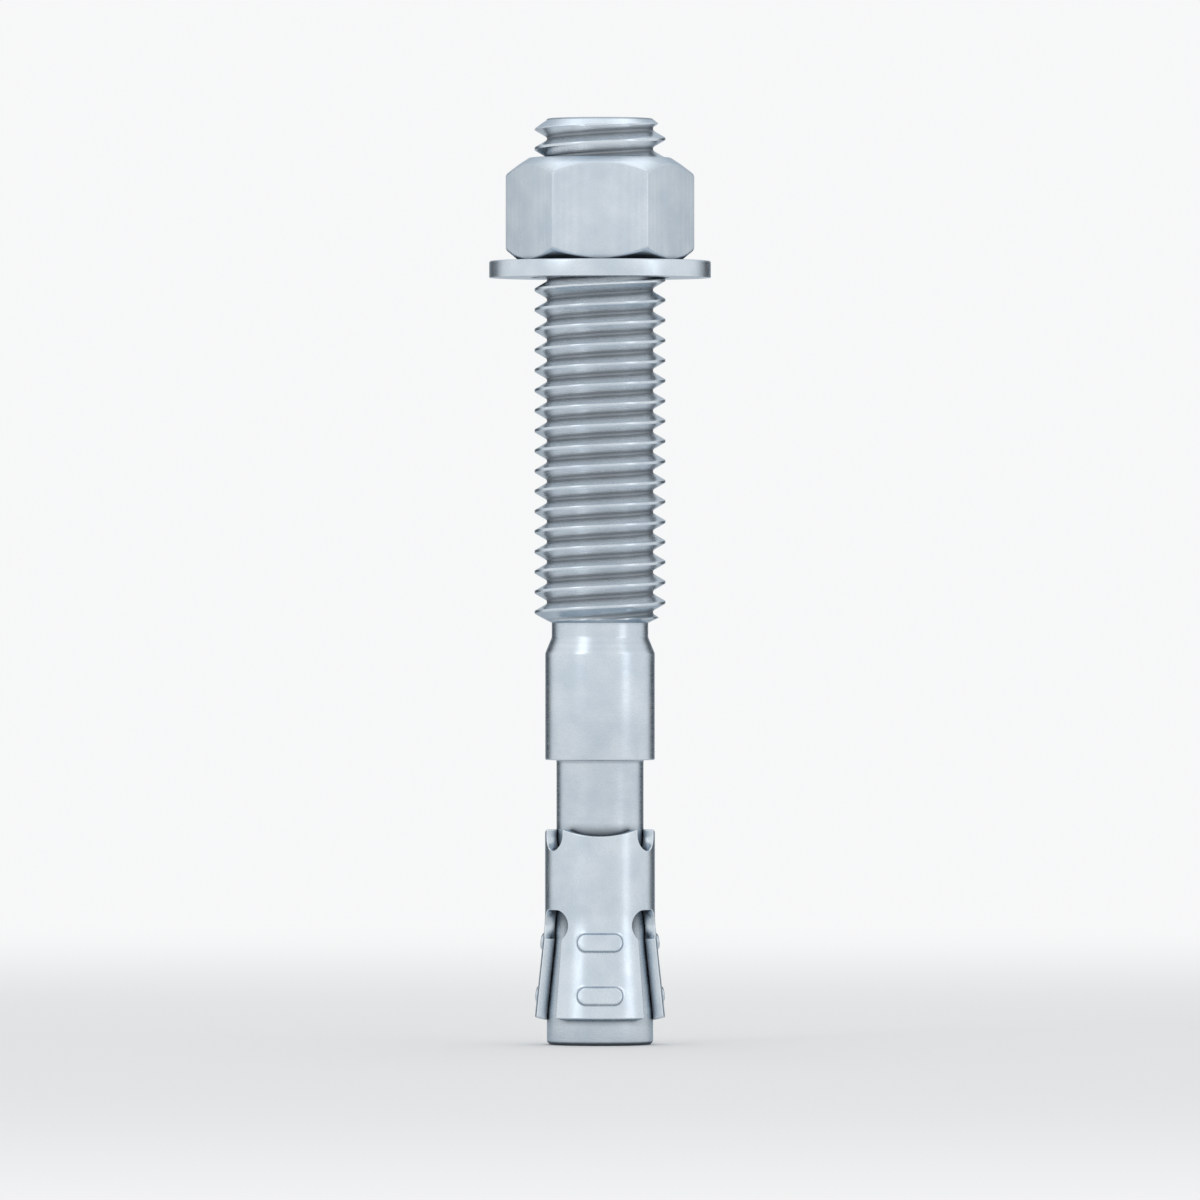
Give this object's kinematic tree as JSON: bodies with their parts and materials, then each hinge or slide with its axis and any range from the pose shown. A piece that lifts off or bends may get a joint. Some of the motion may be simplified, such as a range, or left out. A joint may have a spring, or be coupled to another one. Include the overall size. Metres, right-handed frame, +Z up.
{
  "type": "wedge anchor",
  "caption": "Threaded stud anchor with a tapered end, an expansion clip round its neck, a washer and a hexagon nut, set in a drilled hole.",
  "frame": {"origin": "centre of the stud's flat cone end, which the anchor stands on", "axes": "+Z up along the stud to its threaded end, -Y the front, which a flat of the nut and a leaf of the clip face"},
  "size_m": [0.0216, 0.0216, 0.0898],
  "materials": {
    "stud_plating": "bright zinc plating, pale bluish grey, satin",
    "clip_plating": "bright zinc plating, pale bluish grey, satin",
    "washer_plating": "bright zinc plating, pale bluish grey, satin",
    "nut_plating": "bright zinc plating, pale bluish grey, satin"
  },
  "bodies": {
    "stud": {"anchor_stud": "stud_plating"},
    "clip": {"expansion_clip": "clip_plating"},
    "washer": {"washer": "washer_plating"},
    "nut": {"hex_nut": "nut_plating"}
  },
  "joints": [
    {"name": "clip_slide", "type": "slide", "parent": "stud", "child": "clip", "axis": [0, 0, 1], "range_m": [0, 0.0065]},
    {"name": "washer_slide", "type": "slide", "parent": "stud", "child": "washer", "axis": [0, 0, 1], "range_m": [-0.03322, 0.01172]},
    {"name": "nut_turn", "type": "hinge", "parent": "washer", "child": "nut", "pos_m": [0, 0, 0.076], "axis": [0, 0, 1], "range_deg": [-6122, 2162]}
  ],
  "couplings": [
    {"joint": "nut_turn", "follows": "washer_slide", "rad_per_m": 3215.8}
  ]
}
